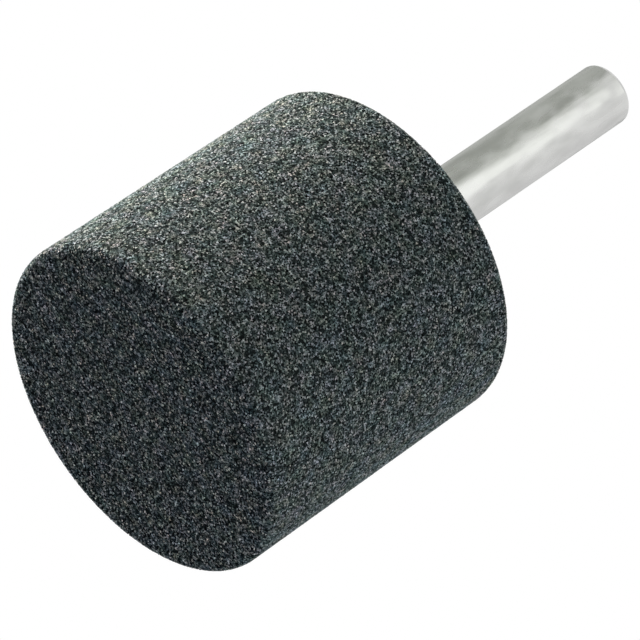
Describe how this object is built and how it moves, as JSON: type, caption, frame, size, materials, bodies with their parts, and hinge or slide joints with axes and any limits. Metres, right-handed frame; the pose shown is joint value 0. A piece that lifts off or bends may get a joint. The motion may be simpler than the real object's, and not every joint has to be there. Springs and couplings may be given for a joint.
{
  "type": "mounted point",
  "caption": "Cylindrical abrasive grinding point: a dark grey-green bonded grit head moulded on a plain round steel shank that is clamped in a die grinder's collet.",
  "frame": {"origin": "centre of the flat working face, on which the part stands", "axes": "+Z along the axis of turning, from the working face to the shank's free end; +X and +Y are any two square directions across the head"},
  "size_m": [0.032, 0.032, 0.061],
  "materials": {
    "abrasive": "fine bonded silicon-carbide grit, dark grey-green, matt, with pale and brown grains and dark pores",
    "steel": "drawn steel, satin, faintly mottled"
  },
  "bodies": {
    "root": {"abrasive_head": "abrasive", "shank": "steel"}
  },
  "joints": []
}
